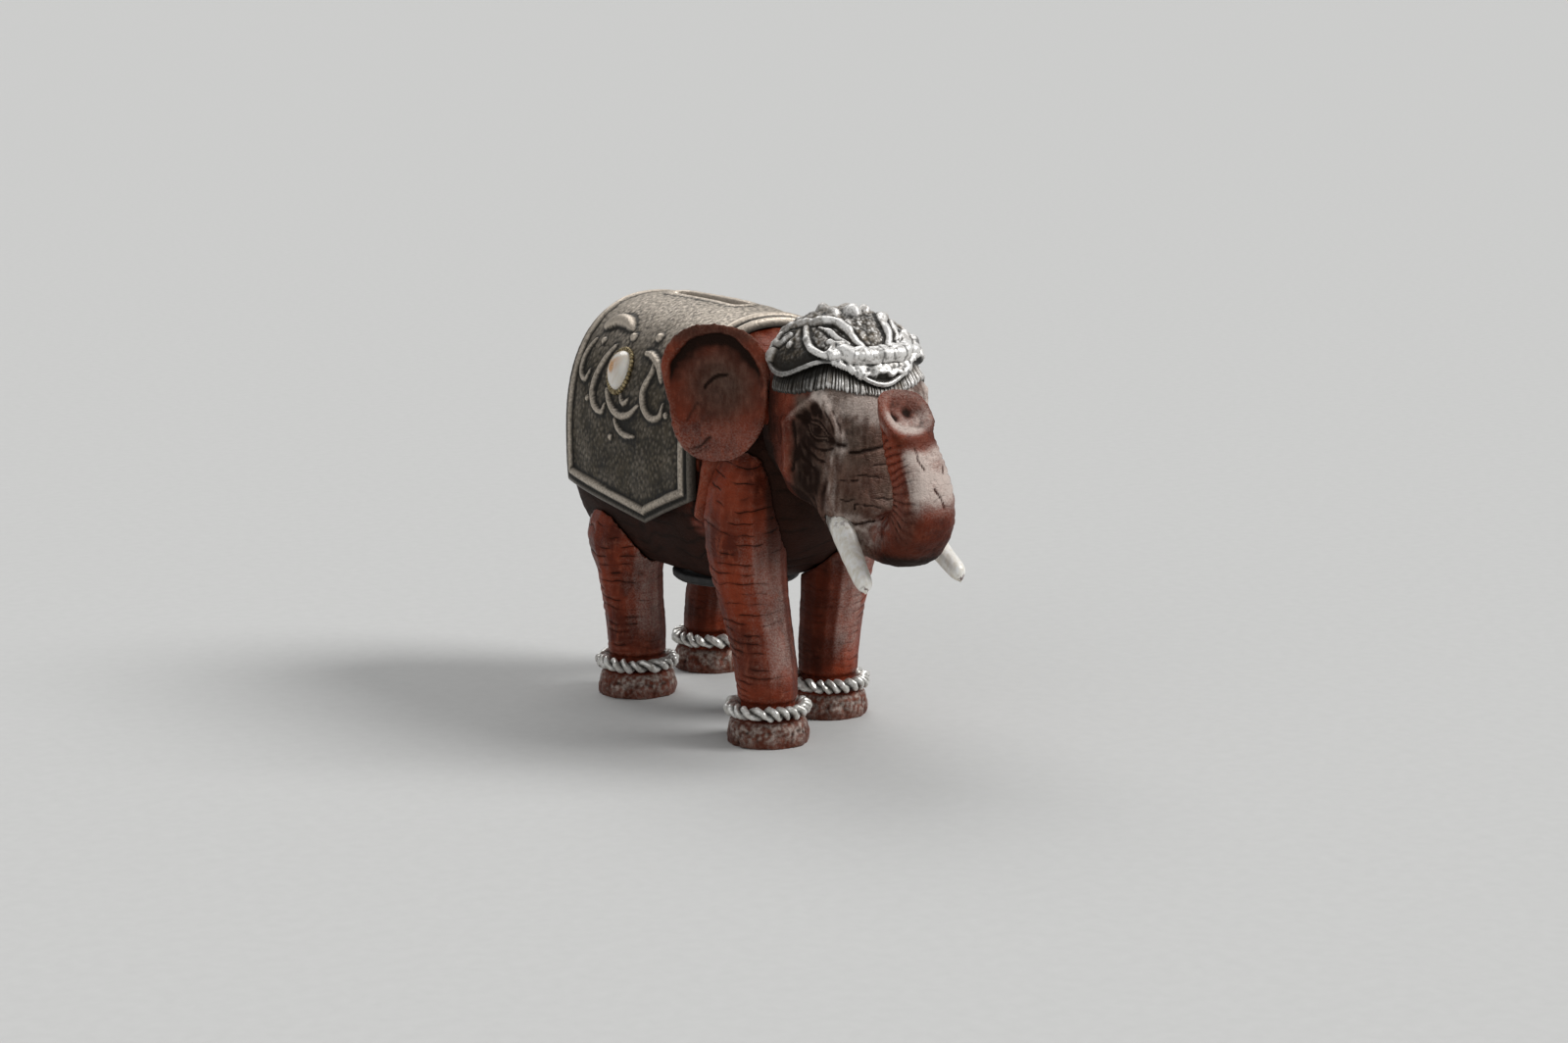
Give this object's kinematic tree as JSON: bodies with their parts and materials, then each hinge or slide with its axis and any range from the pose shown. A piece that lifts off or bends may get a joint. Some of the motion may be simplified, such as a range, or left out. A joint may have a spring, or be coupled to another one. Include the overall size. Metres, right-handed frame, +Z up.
{
  "type": "figural animal coin bank",
  "caption": "Hollow elephant money bank with a raised trunk, silver saddle cloth and cap, a coin slot in the back and a rubber stopper that pulls out of the belly.",
  "frame": {"origin": "middle of the bank's box, on the surface that it stands on", "axes": "+Z up, the elephant faces -Y, and its left side is +X"},
  "size_m": [0.0662, 0.1508, 0.1047],
  "materials": {
    "resin_skin": "satin red-brown paint with a dark wash in the wrinkles, on cast resin",
    "antique_silver": "silver paint dry-brushed over a dark wash, on cast resin",
    "bright_silver": "bright silver paint, slightly worn",
    "pearl_stone": "polished pearly resin",
    "rubber": "matt black"
  },
  "bodies": {
    "bank": {"barrel": "resin_skin", "head": "resin_skin", "left_ear": "resin_skin", "right_ear": "resin_skin", "tail": "resin_skin", "left_front_leg": "resin_skin", "right_front_leg": "resin_skin", "left_hind_leg": "resin_skin", "right_hind_leg": "resin_skin", "saddle_cloth": "antique_silver", "head_cap": "antique_silver", "left_tusk": "bright_silver", "right_tusk": "bright_silver", "left_front_anklet": "bright_silver", "right_front_anklet": "bright_silver", "left_hind_anklet": "bright_silver", "right_hind_anklet": "bright_silver", "left_stone": "pearl_stone", "right_stone": "pearl_stone"},
    "stopper": {"stopper": "rubber"}
  },
  "joints": [
    {"name": "stopper_pull", "type": "slide", "parent": "bank", "child": "stopper", "axis": [0, 0, -1], "range_m": [0, 0.02]}
  ]
}
